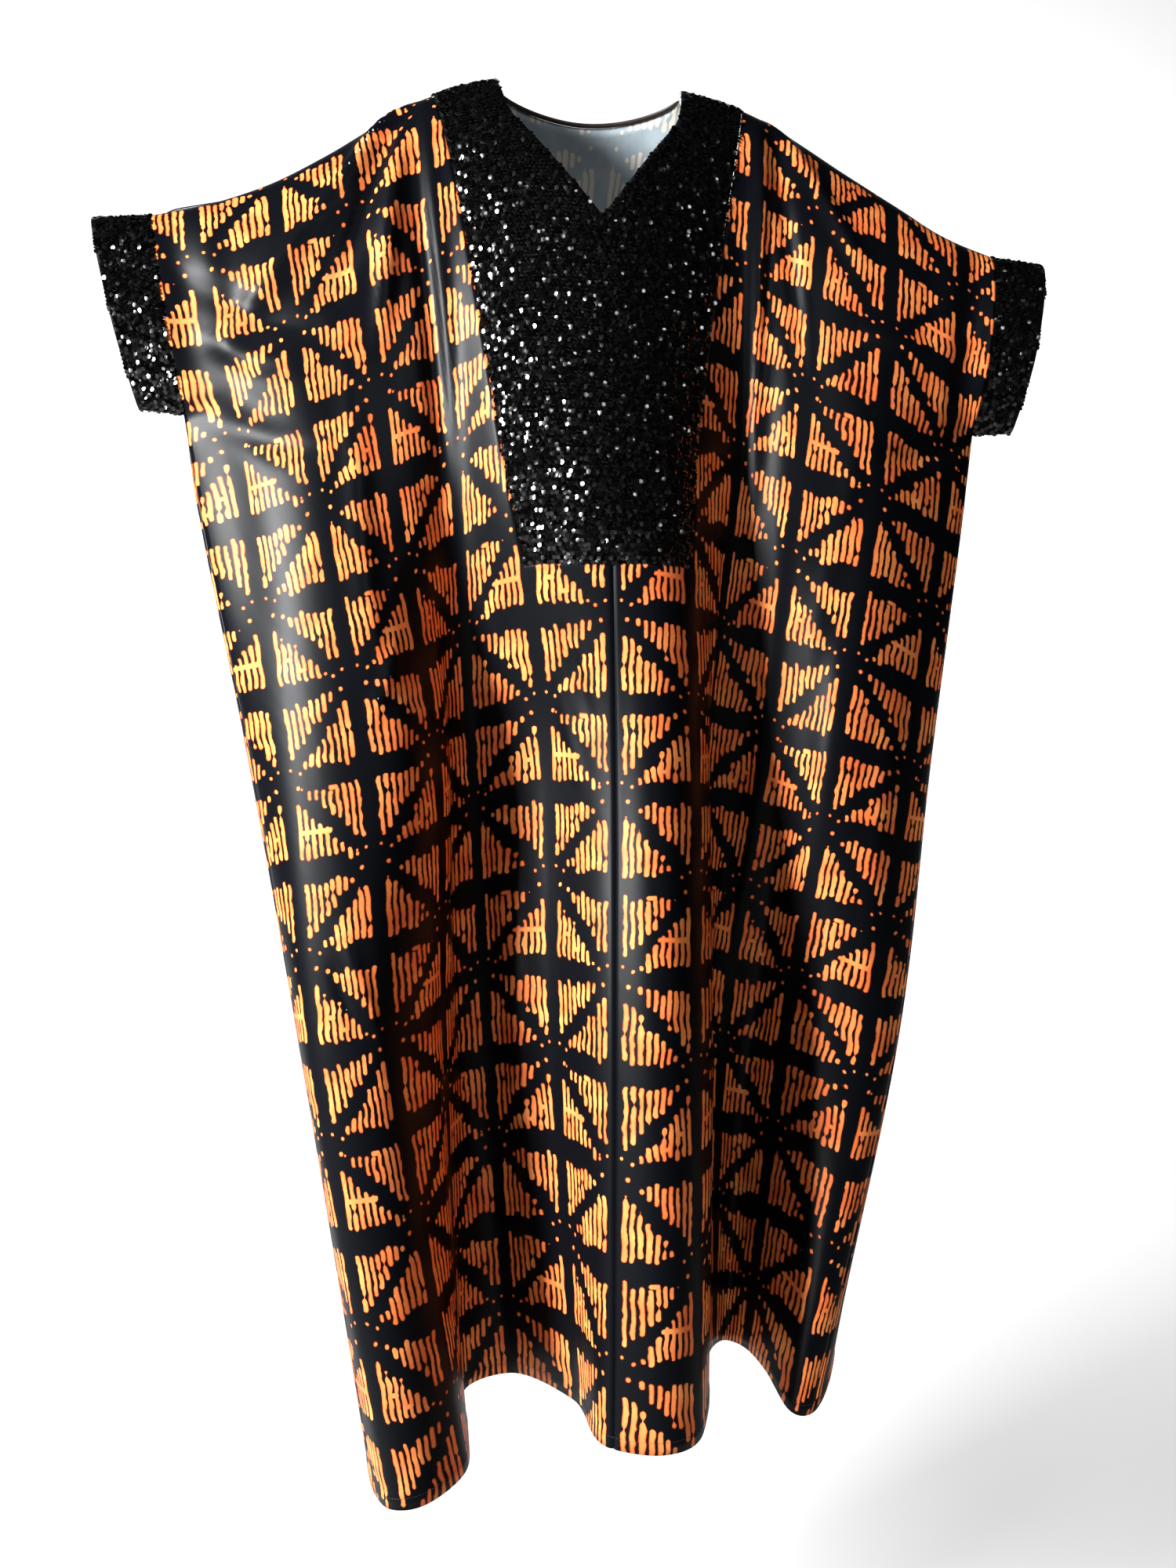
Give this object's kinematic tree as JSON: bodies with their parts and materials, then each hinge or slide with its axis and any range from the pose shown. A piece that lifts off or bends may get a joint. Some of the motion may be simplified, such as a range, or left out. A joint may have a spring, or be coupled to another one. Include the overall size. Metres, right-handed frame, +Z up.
{
  "type": "kaftan dress",
  "caption": "Wide full-length kaftan dress, filled out and hollow, with a V neck, a tapered sequinned yoke, sequinned cuffs, a printed body and deep vertical folds to a waved hem.",
  "frame": {"origin": "midway between the two points where the neck meets the shoulder seams, where a wearer's shoulders hold the dress", "axes": "+Z up, +X across the dress towards the viewer's right, front faces -Y"},
  "size_m": [1, 0.3604, 1.4028],
  "materials": {
    "printed_satin": "satin",
    "sequin_cloth": "gloss",
    "binding_cloth": "matte"
  },
  "bodies": {
    "root": {"front_left": "printed_satin", "front_right": "printed_satin", "back": "printed_satin", "yoke": "sequin_cloth", "cuff_left": "sequin_cloth", "cuff_right": "sequin_cloth", "neck_binding": "binding_cloth"}
  },
  "joints": []
}
